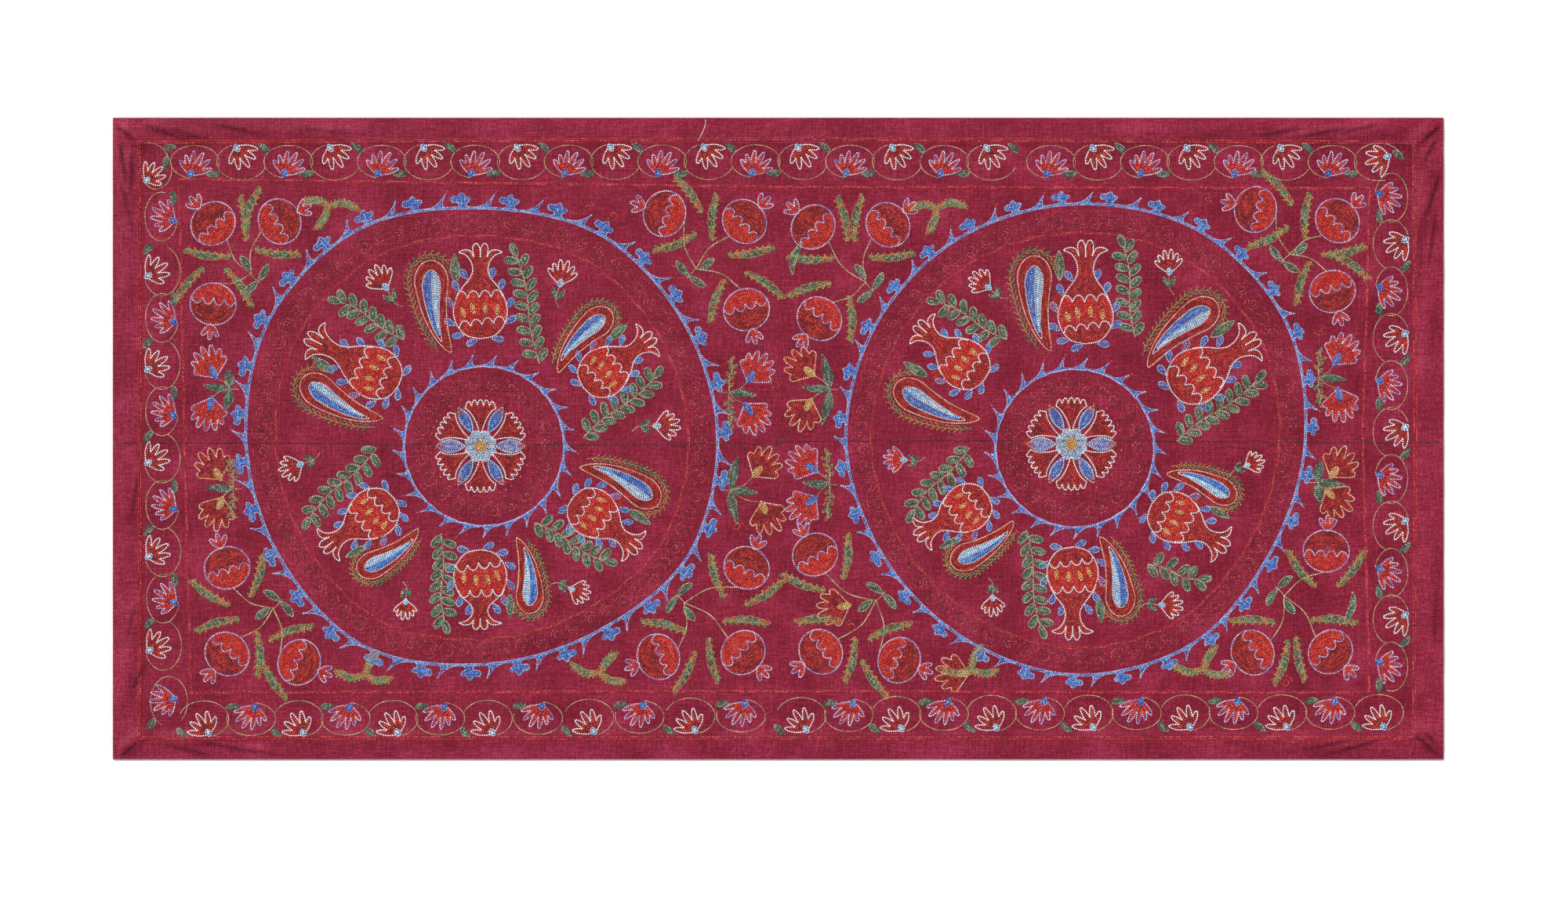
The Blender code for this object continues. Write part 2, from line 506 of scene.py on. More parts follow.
@lru_cache
def inward_carnation():
    """The border's white flower: five petals that lean to -X."""
    tips = (0.74, 0.94, 1.0, 0.93, 0.88)
    rows = carnation(tips, 38, 122, "white", "dark_red", "pale_blue")
    return placed(rows, turn=33, mirror=True)


@lru_cache
def border_cell(outward):
    """One cell of the border about its middle, the cloth's edge to +Y and the next cell to +X.

    Gives the vine's rows and the flower's. The vine's oval starts at the flower's base and ends
    in the next cell's oval, with a leaf pointing back from there.
    """
    if outward:
        vine = arc(70, 47, 258, -15)
        back = placed(side_leaf(), 36, -15, 112)
        return tendril(vine) + back, placed(outward_carnation(), -7, -20)
    vine = arc(71, 52, 112, 342)
    back = placed(side_leaf(), 38, 13, 34, True)
    return tendril(vine) + back, placed(inward_carnation(), -9, 23, 180)


def corner_vine():
    """The vine that starts the upper left corner: a hook that comes round to the flower's base."""
    hook = curve([(-14, 43), (4.5, 36), (15, 23), (21, 5), (15, -16), (-3, -25), (-17, -16), (-22, -5)])
    rows = tendril(hook)
    rows += placed(side_leaf(), 8, 31, -62)
    return rows + placed(side_leaf(), 16, 22, 150, True)


@lru_cache
def vase(neck=1.0):
    """A round-bellied vase about its belly's middle, with a crown of two lips and two petals.

    Its side is a smooth curve through a few measured points, mirrored, and `neck` stretches what
    is above the belly. Two scalloped lines part the neck, the belly and the foot, four seeds lie
    on the belly, and petals stand round it.
    """
    side = curve([(0, -34.6), (20, -30), (33, -16), (38.6, 3), (34, 24), (25.5, 39), (17, 49)])
    side = np.vstack([side, curve([(17, 49), (11.3, 60), (11.6, 70), (14.7, 78), (21, 85), (32, 89)])[1:]])
    lip = curve([(32, 89), (23, 92.5), (14, 90.5), (9.2, 81)])[1:]
    petal = curve([(9.2, 81), (10.4, 88), (10.8, 97), (5.4, 102), (0.6, 94), (0, 80)])[1:]
    right = np.vstack([side, lip, petal])
    right[:, 1] += (neck - 1) * (right[:, 1] - NECK_FOOT).clip(0)
    outline = np.vstack([right, (right * (-1, 1))[-2:0:-1]])
    upper = scallops((-35, 22), (32, 25), 4, 11)
    lower = scallops((-30, -20), (35.4, -11), 4, 10)
    over = right[np.flatnonzero(right[:, 1] > 25)[0] :]
    belly = side[(side[:, 1] > -11) & (side[:, 1] < 25)]
    foot = side[side[:, 1] < -11]
    mirror = (-1, 1)
    crown = np.vstack([upper, over, (over * mirror)[::-1]])
    middle = np.vstack([lower, belly, upper[::-1], (belly * mirror)[::-1]])
    under = np.vstack([lower[::-1], (foot[foot[:, 1] < -20] * mirror)[::-1], foot])
    seeds = [
        moved(blade(15, 5.5), x, y - 7.5, turn)
        for x, y, turn in ((-22, 3.5, 22), (-9, 9.5, 17), (7, 10, 4), (23.5, 7, -5))
    ]
    rows = chain(loop(outline), "white")
    rows += chain(upper, "white") + chain(lower, "white")
    rows += fill(crown, "mid_red", lead=LINE / 2)
    rows += clear_of(fill(middle, "bright_red", lead=LINE / 2), *seeds)
    rows += fill(under, "mid_red", lead=LINE / 2)
    for seed in seeds:
        rows += patch(seed, "tan", "tan")
    for x, y, way in VASE_PETALS:
        y += (neck - 1) * max(y - NECK_FOOT, 0)
        rows += placed(patch(blade(18, 9, 0, 0.62, 0.7), "violet", "blue"), x, y, way - 90)
    return rows


# How high on a vase its neck starts, where the petals round it stand, and the way that each points
NECK_FOOT = 25
VASE_PETALS = [
    (-18, 50, 127), (-31, 32, 117), (-39, 9, 123), (-36, -16, 150), (-23, -29, 188), (-4, -36, 205),
    (14, 50, 72), (27, 34, 70), (38, 9, 60), (36, -13, 36), (16, -34, -6),
]


@lru_cache
def paisley():
    """A paisley, head up and tail bent to +X, in two blues inside a red band, with a feathery
    branch round its head and back, and one leaf beside it."""
    band = drop(133, 48, 0.22, 0.24, 0.62)
    core = moved(drop(103, 26, 0.15, 0.24, 0.7), 0, -14)
    half = len(core) // 2 + 1
    right, left = core[:half], np.vstack([core[:1], core[half:][::-1], core[half - 1 : half]])
    spine = (right + left) / 2
    rows = chain(loop(band), "gold") + chain(loop(core), "white", FINE_LINE)
    rows += clear_of(fill(band, "dark_red", lead=LINE / 2), moved(core * 1.04, 0, 0.8))
    rows += fill(np.vstack([right, spine[::-1] - (0.8, 0)]), "pale_blue", lead=0.8)
    rows += fill(np.vstack([left, spine[::-1] + (0.8, 0)]), "blue", lead=0.8)
    return rows + feather() + placed(leaf(42, 13), 33, 9, 184)


def feather():
    """The branch that follows a paisley's back and head, its barbs leaning towards its tip."""
    wide = drop(152, 68, 0.2, 0.27, 0.6)
    half = len(wide) // 2 + 1
    back = np.vstack([wide[half + 1 :], wide[: half // 3]]) + (0, 8)
    rows = chain(back, "feather", 2.0)
    count = int(np.hypot(*np.diff(back, axis=0).T).sum() / 4.4)
    for i, (x, y, way) in enumerate(at_places(back, np.linspace(0.04, 0.98, count))):
        barb = curve([(0, 0), (1.4, 4.5), (0, 9)], per_span=3)
        lean = 40 if i % 2 else -36
        rows += placed(chain(barb, "feather", 2.2), x, y, way - 90 + lean)
    return rows


@lru_cache
def twig(length):
    """A feathery twig: a variegated stem with short bent barbs on both sides."""
    stem = curve([(0, 0), (-2, 0.4 * length), (1, 0.75 * length), (-4, length)])
    rows = chain(stem, "khaki", 2.0)
    for i, (x, y, way) in enumerate(at_places(stem, np.linspace(0.12, 0.9, int(length / 5)))):
        barb = patch(blade(9, 4, 0.1), "variegated", "green")
        rows += placed(barb, x, y, way - 90 + (46 if i % 2 else -46))
    return rows


@lru_cache
def sprig(length):
    """A vine stem with blunt leaves on both sides, and one at the tip: those on the left stand
    out sideways, and those on the right lean up."""
    stem = curve([(0, 0), (-3, 0.3 * length), (2, 0.65 * length), (-2, length - 12)])
    rows = tendril(stem)
    count = int(length / 9)
    for i, (x, y, way) in enumerate(at_places(stem, np.linspace(0.03, 0.95, count))):
        rows += placed(leaf(21, 10.5, blunt=0.35), x, y, way - 90 + (66 if i % 2 else -46))
    x, y, way = at_places(stem, [1.0])[0]
    return rows + placed(leaf(20, 10, blunt=0.35), x, y, way - 80)


@lru_cache
def small_carnation(edge="white", petals="dark_red"):
    """A small carnation about its middle, with a stem and two leaves under it."""
    tips = (0.78, 0.88, 0.98, 1.0, 0.9, 0.8)
    flower = carnation(tips, 42, 104, edge, petals, "pale_blue", 0.55, 2.0, (13, 9))
    rows = placed(flower, 0, -22, -6)
    rows += tendril(curve([(0, -22), (-3, -34), (-4, -46), (2, -57)]))
    rows += placed(side_leaf(19, 7), -3, -42, 38)
    return rows + placed(side_leaf(19, 7), -3, -42, -50, True)


@lru_cache
def thorn():
    """A thorn on a ring: a wedge that curves up to a fine tip, leaning to +X."""
    left = curve([(-19, 0), (-7, 3.2), (3.5, 10), (12.5, 21)], per_span=4)
    right = curve([(12.5, 21), (8, 11.5), (6.8, 5), (10, -1)], per_span=4)
    rows = patch(np.vstack([left, right[1:]]), "violet", "blue")
    return rows + chain([left[-1], left[-1] + (3, 4)], "scarlet", FINE_LINE)


@lru_cache
def hook_blossom():
    """A blossom on the outer ring: a stout stalk with a round bud that hangs back to -X, a pointed
    lobe at its tip and a small round one at its side, closed in its middle by two more rows."""
    bud = [(-10, -1), (-4.5, 3), (-5, 8), (-8.5, 8.5), (-13.5, 8.5), (-16, 13), (-13, 17.5), (-8, 16.5)]
    tip = [(-5, 17.5), (0.5, 22.5), (4.5, 18), (6, 14.5)]
    side = [(10, 16), (13.5, 13.5), (11, 9.5), (6.5, 7.5), (6.5, 3.5), (11, -1)]
    rows = patch(curve(bud + tip + side, True, 4), "violet", "blue")
    return rows + chain([(-1, 2), (0, 17)], "blue", 4) + chain([(-9, 12.5), (6, 12)], "blue", 4)


def spiral(radius, turns, start=0.0):
    """A line that winds in evenly from a radius to a seventh of it."""
    t = np.linspace(0.0, 1.0, int(18 * turns))
    a = math.radians(start) + 2 * np.pi * turns * t
    r = radius * (1 - 0.86 * t)
    return np.column_stack([r * np.cos(a), r * np.sin(a)])


def lace_fan():
    """A rosette's trumpet-shaped fan: sides that flare out to pointed corners, and a rim of five
    round fingers that bows out."""
    side = curve([(1.5, 20), (5.2, 32), (10.5, 43), (16.5, 51.5), (23.8, 57)])
    rim = scallops((-22.5, 56), (22.5, 56), 5, 9.5)
    rim[:, 1] += 4 * (1 - (rim[:, 0] / 22.5) ** 2)
    return np.vstack([side * (-1, 1), rim, side[::-1]])


@lru_cache
def rosette():
    """The medallion's middle: a gold disc in a pale eight-lobed flower, with six scalloped fans
    and six lens-shaped petals round it by turns."""
    a = np.radians(np.arange(0, 360, 5))
    lobed = 24 * (0.82 + 0.18 * np.abs(np.sin(4 * a)) ** 0.7)
    heart = np.column_stack([lobed * np.cos(a), lobed * np.sin(a)])
    disc = circle(8.5)
    rows = chain(loop(heart), "white", FINE_LINE) + patch(disc, "tan", "tan")
    rows += clear_of(fill(heart, "pale_blue", lead=0.8), disc)
    for angle in range(0, 360, 60):
        wide, blue = (19, "violet") if angle % 180 == 0 else (15, "blue")
        lens = moved(blade(44, wide, 0, 0.5, 0.9), *polar(angle, 23), angle - 90)
        rows += patch(lens, "pale_blue", blue)
        lace = moved(lace_fan(), turn=angle - 60)
        rows += patch(lace, "white", "dark_red", "dark_red")
    return rows


@lru_cache
def pomegranate():
    """A pomegranate about its middle, its calyx up: a scalloped line parts the bright flesh by
    the stem from the dark skin, and a three-petalled calyx stands on top."""
    line = scallops((-31.5, -9), (31.5, -9), 4, 10)
    top, bottom = arc(66, 60, -17, 197), arc(66, 60, 197, 343)
    rows = chain(loop(arc(66, 60)), "lavender") + chain(line, "lavender", 1.8)
    rows += fill(np.vstack([top, line]), "dark_red", lead=LINE / 2)
    rows += fill(np.vstack([bottom, line[::-1]]), "bright_red", lead=LINE / 2)
    calyx = fan((0.92, 1.0, 0.92), 24, 0.42, 100, 1.7)
    return rows + placed(patch(calyx, "lavender", "bright_red"), 0, 28)


# A branch's lumps: how far along it each one is, its length and its width
LUMPS = [
    (0.0, 12, 6), (0.14, 14, 8), (0.28, 17, 10), (0.44, 18, 10.5), (0.6, 16, 9.5), (0.74, 14, 7),
    (0.88, 13, 6),
]


def frond(line, side):
    """A lumpy branch along a variegated stem: green lumps in its middle, thin golden ones at both
    ends, and short barbs on its inner side."""
    rows = chain(line, "variegated", 2.6)
    for share, length, width in LUMPS:
        x, y, way = at_places(line, [share])[0]
        body = "green" if 0.2 < share < 0.7 else "variegated"
        lump = patch(blade(length, width, 0.12 * side, 0.45, 0.85), "variegated", body)
        rows += placed(lump, x, y, way - 90 - 20 * side)
        rows += placed(chain([(0, 0), (0, 7)], "variegated", 2.4), x, y, way - 90 + 40 * side)
    return rows


def fork():
    """Where a bunch's stems meet: a short stem on to the ring, with two long bent leaves across it."""
    rows = tendril([(0, 0), (1, 8), (0, 18)])
    for bend, way in ((0.2, -84), (-0.2, 92)):
        rows += placed(leaf(28, 10, bend), 0, 14, way)
    return rows + placed(leaf(26, 10.5, -0.1), -4, -3, 168)


@lru_cache
def round_flower(gold):
    """A side flower from its base, like a maple leaf: six or seven blunt petals in a fan, and a
    long narrow seat."""
    if gold:
        tips = (0.7, 0.88, 1, 0.97, 0.9, 0.72)
        threads = ("gold", "dark_red", "tan")
    else:
        tips = (0.66, 0.84, 0.96, 1, 0.97, 0.86, 0.68)
        threads = ("lavender", "bright_red", "blue")
    return carnation(tips, 50, 112, *threads, 0.62, 2.0, (21, 9))


# The layout. Angles are anticlockwise from +X, and reaches are from a medallion's middle.

# Where figures stand in a medallion: angle, reach and turn, then their size or length, and for a
# vase how long its neck is
Vase = namedtuple("Vase", "angle reach turn size neck")
Paisley = namedtuple("Paisley", "angle reach turn size")
Sprig = namedtuple("Sprig", "angle reach turn length")
Carnation = namedtuple("Carnation", "angle reach turn size")

# Each medallion's middle, its inner ring's middle and reach, its rosette's middle, its outer ring's
# reach every 30 degrees, where round it the blossoms start and their size, and its figures
Medallion = namedtuple(
    "Medallion", "name x y inner rosette reaches start blossom vases paisleys sprigs carnations"
)
MEDALLIONS = [
    Medallion(
        "left", -422, -2, (2, -9, 114), (-3, -9),
        [336, 333, 338, 331, 349, 350, 338, 335, 340, 321, 319, 337], 0.005, 0.98,
        [Vase(91, 179, 0, 1, 1), Vase(29, 193, -54, 0.91, 1.03), Vase(-33.5, 184, -129, 0.9, 1),
         Vase(-91, 191, 180, 0.98, 0.74), Vase(-146, 183, 125, 0.91, 1.04), Vase(148, 176, 62, 0.96, 1.26)],
        [Paisley(106, 267, 0, 1), Paisley(45, 260, -53, 0.86), Paisley(-20, 268, -127, 0.92),
         Paisley(-75, 257, 177, 0.81), Paisley(-133.5, 260, 113, 0.79), Paisley(161, 272, 51, 0.95)],
        [Sprig(53, 135, 11, 170), Sprig(128, 181, 58, 118), Sprig(1, 143, -51, 146),
         Sprig(-176, 150, 135, 152), Sprig(-114, 146, -179, 137), Sprig(-58, 139, -120, 126)],
        [Carnation(123, 275, 40, 0.95), Carnation(65, 265, -5, 0.92), Carnation(5, 266, -80, 0.92),
         Carnation(-171, 277, 120, 0.86), Carnation(-57, 258, -105, 0.78), Carnation(-114, 267, -175, 0.72)],
    ),
    Medallion(
        "right", 424, -5, (0, -9, 113), (-5, -3),
        [329, 347, 350, 340, 335, 330, 327, 319, 322, 333, 334, 321], 0.01, 0.86,
        [Vase(85, 176, 0, 1.02, 1.12), Vase(28.5, 191, -58, 1.02, 1.1), Vase(-37.5, 173, -120, 0.93, 1),
         Vase(-91, 183, 180, 0.95, 1.05), Vase(-148.5, 176, 120, 0.88, 1), Vase(145, 188, 50, 0.91, 1.04)],
        [Paisley(102, 272, -3, 1.02), Paisley(44, 284, -60, 1), Paisley(-20, 244, -123, 0.78),
         Paisley(-75, 258, -177, 0.87), Paisley(-135.5, 248, 112, 0.8), Paisley(162, 269, 55, 0.96)],
        [Sprig(60, 172, 6, 142), Sprig(123.5, 175, 60, 122), Sprig(0, 144, -54, 156),
         Sprig(-177, 150, 137, 133), Sprig(-119, 142, -173, 152), Sprig(-59.5, 203, -108, 88)],
        [Carnation(121, 266, 60, 0.85), Carnation(63, 290, 10, 0.86), Carnation(-6, 258, -60, 0.72),
         Carnation(-174, 260, 95, 0.8), Carnation(-59, 270, -85, 0.84), Carnation(-116, 262, -170, 0.74)],
    ),
]
RING_FIGURES = 31
INNER_THORNS = 25
SCROLLS = 74
INNER_SCROLLS = 22
RED_CIRCLE = 293
DOTTED_CIRCLE = 72
DOTS = 48
INNER_THORN_SIZE = 0.86
ROSETTE_SIZE = 0.96

# The one small carnation that is edged in lavender: its medallion and its angle
LILAC = ("right", -174)

# How far inside the outer ring its scrolls run, how much of its unevenness they follow, and the
# reach of the inner ring's scrolls
SCROLL_INSET = 22
SCROLL_SHARE = 0.8
INNER_SCROLL_CIRCLE = 93

# Bunches of pomegranates: where the stems meet, the turn of the way to the ring, and the fruits
Bunch = namedtuple("Bunch", "x y turn fruits")
BUNCHES = [
    Bunch(-753, 235, -135, [(-807, 307, 41), (-712, 310, -62), (-807, 192, 174)]),
    Bunch(-117, 242, 135, [(-162, 321, 71), (-48, 310, -46), (-45, 184, -165)]),
    Bunch(125, 223, -135, [(50, 302, 47), (157, 305, -51), (59, 171, 141)]),
    Bunch(731, 263, 135, [(682, 327, 76), (799, 311, -46), (792, 210, -164)]),
    Bunch(-721, -243, -45, [(-787, -185, 17), (-787, -308, 140), (-684, -320, -113)]),
    Bunch(-134, -235, 45, [(-45, -185, -23), (-171, -312, 111), (-50, -306, -134)]),
    Bunch(140, -232, -45, [(53, -166, 28), (61, -305, 126), (173, -317, -111)]),
    Bunch(723, -225, 45, [(783, -161, -3), (678, -306, 122), (789, -305, -135)]),
]

# What is strewn between the figures, as (x, y, turn): forked twigs, curled leaves, small spirals
TWIGS = [
    (-641, 333, 0), (227, 330, 10), (-590, -339, 180), (-255, -336, 170), (275, -331, 185), (607, -331, 180),
]
CURLS = [(22, 234, 20), (820, -219, 200)]
SPIRALS = [
    (-272, 330, 0), (-236, 318, 90), (-146, 251, 0), (-115, 223, 200), (-3, 77, 0), (104, -269, 90),
    (-59, -124, 0), (792, 66, 120), (305, 106, 0), (613, 341, 60), (736, 235, 0), (775, 156, 180),
    (725, -348, 0),
]

# The three arms of a forked twig, each with the side that its barbs are on
TWIG_ARMS = [
    ([(0, 0), (18, 5), (40, -2)], 1), ([(0, 0), (-14, 8), (-34, 8)], -1),
    ([(0, 0), (-4, -16), (-14, -32)], 1),
]

# Gold flowers that stand alone, as (x, y, turn)
LONE_FLOWERS = [(87, -241, 100), (257, -336, 90)]

# Pairs of side flowers: whether gold, whether leaves or twigs grow beside them and how long those
# are, their root on the ring, and each flower's middle and turn
Pair = namedtuple("Pair", "gold leafy length root flowers")
PAIRS = [
    Pair(False, True, 28, (-770, 70), [(-813, 108, 25), (-813, 35, 170)]),
    Pair(True, False, 40, (-766, -72), [(-808, -38, 30), (-802, -107, 160)]),
    Pair(False, False, 46, (-82, 66), [(-30, 100, -35), (-34, 30, -145)]),
    Pair(True, True, 48, (-80, -74), [(-20, -36, -40), (-14, -113, -155)]),
    Pair(True, True, 50, (86, 70), [(33, 105, 50), (36, 35, 150)]),
    Pair(False, False, 46, (86, -66), [(36, -34, 55), (36, -99, 130)]),
    Pair(False, False, 36, (760, 87), [(806, 126, -30), (804, 48, -170)]),
    Pair(True, True, 30, (758, -63), [(803, -36, -35), (798, -90, -140)]),
]

# Where along the seam its crossing stitches are, at the storage fold
SEAM_PUCKERS = (-3.5, 0.5, 4)

# The border's cells: a side's turn, whether lavender is first, and (number, x, y) of some cells
# along it, with the rest even between
Side = namedtuple("Side", "turn lavender_first places")
BORDER_SIDES = [
    Side(0, True, [(0, -833, 395), (12, -32, 396), (17, 305, 395), (18, 390, 395), (24, 792, 395)]),
    Side(-90, True, [(0, 876, 344), (10, 876, -326)]),
    Side(180, False, [
        (0, 858, -392), (8, 305, -393), (12, 33, -396), (13, -53, -396), (18, -415, -400), (24, -820, -401),
    ]),
    Side(90, False, [(0, -878, -296), (4, -880, -28), (8, -880, 239), (9, -881, 317)]),
]

# The two frames' corners and the middles of their sides, how far outside or inside it a frame's
# second row runs, and how that row steps
OUTER_FRAME = [(-911, -426), (0, -427), (907, -426), (909, 0), (907, 421), (0, 427), (-911, 421.5), (-910, 0)]
INNER_FRAME = [(-839, -364), (0, -362), (846, -364), (836, 0), (846, 358), (0, 360), (-856, 371), (-848, 0)]
FRAME_GAP = 2.4
FRAME_STEP = 3.0
FRAME_SWAY = 1.2


def ring_line(reaches, share, offset, middle=(0.0, 0.0)):
    """A hand-drawn ring: a closed smooth curve through a reach every 30 degrees. `share` is how
    much of its unevenness a line beside it follows."""
    mean = float(np.mean(reaches))
    evened = [mean + share * (reach - mean) + offset for reach in reaches]
    return curve([polar(30 * i, reach, middle) for i, reach in enumerate(evened)], True, 24)


def round_ring(line, count, start=0.0):
    """Even places round a ring, as x, y and the turn that points a figure outwards."""
    places = (np.arange(count) / count + start) % 1.0
    return [(x, y, way - 180) for x, y, way in at_places(loop(line), places)]


def medallion(plan):
    """A medallion's rows, in groups: its rings, its vases, its paisleys, and all that grows between."""
    rings, vases, paisleys, sprigs = [], [], [], []
    reaches = plan.reaches
    *inner_middle, inner_reach = plan.inner
    for offset, thread in ((-1.5, "violet"), (0, "blue"), (1.5, "violet")):
        rings += chain(loop(ring_line(reaches, 1, offset)), thread, 1.6)
    for offset, thread in ((0, "lavender"), (1.9, "blue")):
        rings += chain(loop(circle(inner_reach + offset, inner_middle)), thread, 2)
    red = ring_line(reaches, 0.6, RED_CIRCLE - np.mean(reaches))
    for offset in (0, 2.2):
        rings += chain(loop(red * (1 + offset / RED_CIRCLE)), "scarlet", FINE_LINE)
    outer = ring_line(reaches, 1, 0)
    for place in round_ring(outer, RING_FIGURES, plan.start):
        rings += placed(hook_blossom(), *place, size=plan.blossom)
    for place in round_ring(outer, RING_FIGURES, plan.start + 0.5 / RING_FIGURES):
        rings += placed(thorn(), *place, size=plan.blossom)
    for place in round_ring(circle(inner_reach, inner_middle), INNER_THORNS):
        rings += placed(thorn(), *place, size=INNER_THORN_SIZE)
    rings += placed(rosette(), *plan.rosette, size=ROSETTE_SIZE)
    for number in range(DOTS):
        angle = 360 / DOTS * number
        dot = polar(angle, DOTTED_CIRCLE, plan.rosette)
        rings += placed(chain([(-1.8, 0), (1.8, 0)], "scarlet", 1.9), *dot, angle + 90)
    for one in plan.vases:
        vases += placed(vase(one.neck), *polar(one.angle, one.reach), one.turn, size=one.size)
    for one in plan.paisleys:
        paisleys += placed(paisley(), *polar(one.angle, one.reach), one.turn, size=one.size)
    for one in plan.sprigs:
        sprigs += placed(sprig(one.length), *polar(one.angle, one.reach), one.turn)
    for one in plan.carnations:
        threads = ("lavender", "bright_red") if (plan.name, one.angle) == LILAC else ()
        sprigs += placed(small_carnation(*threads), *polar(one.angle, one.reach), one.turn, size=one.size)
    return [placed(rows, plan.x, plan.y) for rows in (rings, vases, paisleys, sprigs)]


@lru_cache
def scroll():
    """One spiral with the two curved lines that join it to its neighbours."""
    rows = chain(spiral(11, 2.3, 200), "crimson", 1.8)
    for joint in ([(-9, -3), (-7, -10), (1, -13), (9, -9), (13, -2)], [(-10, 6), (-4, 13), (5, 14)]):
        rows += chain(curve(joint, per_span=3), "crimson", FINE_LINE)
    return rows


def scrollwork(plan):
    """Tone-on-tone spirals that run round inside a medallion's two rings, each joined to the next."""
    rows = []
    outer = ring_line(plan.reaches, SCROLL_SHARE, -SCROLL_INSET)
    inner = circle(INNER_SCROLL_CIRCLE, plan.inner[:2])
    for line, count in ((outer, SCROLLS), (inner, INNER_SCROLLS)):
        for place in round_ring(line, count):
            rows += placed(scroll(), *place)
    return placed(rows, plan.x, plan.y)


def bunch(plan):
    """A bunch's fruits, and its stems with the two branches that lie beside every fruit."""
    fruits, stems = [], placed(fork(), plan.x, plan.y, plan.turn)
    for x, y, turn in plan.fruits:
        fruits += placed(pomegranate(), x, y, turn)
        foot = np.array(polar(turn - 90, 30, (x, y)))
        meet = np.array((plan.x, plan.y), float)
        bow = (foot + meet) / 2 + 0.12 * (meet - foot)[::-1] * (1, -1)
        stems += chain(curve([foot, bow, meet]), "vine", 2.0)
        for side, start, end in ((1, -70, 4), (-1, -102, -178)):
            line = curve([polar(start, 53), polar((start + end) / 2, 44), polar(end, 53)])
            stems += placed(frond(line, side), x, y, turn)
    return fruits, stems


def pair(plan):
    """Two side flowers on stems from one root, with one long leaf between them that points away
    from the ring, and a bent leaf or a feathery twig beside each."""
    root = np.array(plan.root, float)
    middle = np.mean([flower[:2] for flower in plan.flowers], axis=0)
    way = math.degrees(math.atan2(middle[1] - root[1], middle[0] - root[0]))
    meet = polar(way, 12, root)
    flowers, stems = [], tendril([root, meet])
    for x, y, turn in plan.flowers:
        base = polar(turn + 90, -24, (x, y))
        flowers += placed(round_flower(plan.gold), *base, turn)
        bow = (np.array(meet) + base) / 2 + (np.array(base) - meet)[::-1] * (0.1, -0.1)
        stems += tendril(curve([meet, bow, base]))
    stems += placed(side_leaf(40, 10.5, 0.1), *meet, way - 90)
    for lean in (-84, 84):
        growth = side_leaf(plan.length, 13, 0.12) if plan.leafy else twig(plan.length)
        stems += placed(growth, *polar(way + lean, 2, meet), way - 90 + lean, lean < 0)
    return flowers, stems


def gathered(make, plans):
    """What a function gives for each plan, joined into one list of rows for each kind."""
    return [sum(kind, []) for kind in zip(*map(make, plans))]


def strewn():
    """The twigs and curled leaves between the larger figures, and the small spirals."""
    green, red = [], []
    for x, y, turn in TWIGS:
        for arm, side in TWIG_ARMS:
            green += placed(frond(curve(arm), side), x, y, turn)
    for x, y, turn in CURLS:
        green += placed(leaf(40, 9, 0.7), x, y, turn)
    for x, y, turn in SPIRALS:
        red += placed(chain(spiral(9.5, 1.7), "scarlet", FINE_LINE), x, y, turn)
    return green, red


# A loose end of white thread, from the top edge to the flower that it comes out of
LOOSE_THREAD = [(-103.6, 456), (-104, 448), (-108, 437), (-114.5, 425)]


def border():
    """The border's vine with its leaves, and its flowers, cell by cell round the four sides."""
    vines, flowers = [], []
    for side in BORDER_SIDES:
        numbers, xs, ys = np.array(side.places, float).T
        for number in range(int(numbers[-1]) + 1):
            x, y = np.interp(number, numbers, xs), np.interp(number, numbers, ys)
            vine, flower = border_cell((number % 2 == 0) == side.lavender_first)
            vines += placed(vine, x, y, side.turn)
            flowers += placed(flower, x, y, side.turn)
    # The corners, where the cells don't repeat
    vines += placed(corner_vine(), -887, 381)
    flowers += placed(inward_carnation(), -904, 367, -83, size=0.88)
    flowers += chain(curve(LOOSE_THREAD), "white", FINE_LINE)
    vines += placed(tendril(arc(70, 54, 10, 285)), 858, 395)
    vines += placed(side_leaf(), 878, 410, -112)
    flowers += placed(inward_carnation(), 874, 404, 75)
    vines += placed(tendril(arc(53, 72, -50, 250)), -870, -376)
    vines += placed(side_leaf(), -890, -400, 155)
    flowers += placed(outward_carnation(), -860, -371, 128)
    return vines, flowers


def frame_lines():
    """Two frames of red chain, each of two rows, one of them stepping from side to side."""
    rows = []
    for frame_points, gap in ((OUTER_FRAME, FRAME_GAP), (INNER_FRAME, -FRAME_GAP)):
        points = np.array(frame_points, float)
        rows += chain(loop(points), "frame_red", 2.4)
        beside = points + np.sign(points) * gap
        line = even(loop(beside), FRAME_STEP)
        line[::2] += np.sign(line[::2]) * FRAME_SWAY
        rows += chain(line, "frame_red", 1.7)
    return rows


# The cloth's surface


def smooth_step(t):
    """0 below 0, 1 above 1, and a smooth rise between."""
    t = np.clip(t, 0.0, 1.0)
    return t * t * (3.0 - 2.0 * t)


def seam_line(x):
    """The seam's Y: a slow wave, with a step at the storage fold in the middle."""
    wander = SEAM_WANDER * np.sin(np.pi * SEAM_WANDER_WAVES * x / HALF_LENGTH)
    return SEAM_Y + wander + SEAM_STEP * (smooth_step(0.5 + x / SEAM_STEP_RUN) - 0.5)


def beside_crease(crease, x, y):
    """Where points lie by a crease: how far along it as a share, and how far across it in millimetres,
    by the dot and cross products with its run."""
    run_x, run_y = crease.x1 - crease.x0, crease.y1 - crease.y0
    length = math.hypot(run_x, run_y)
    along = ((x - crease.x0) * run_x + (y - crease.y0) * run_y) / length**2
    return along, ((x - crease.x0) * run_y - (y - crease.y0) * run_x) / length


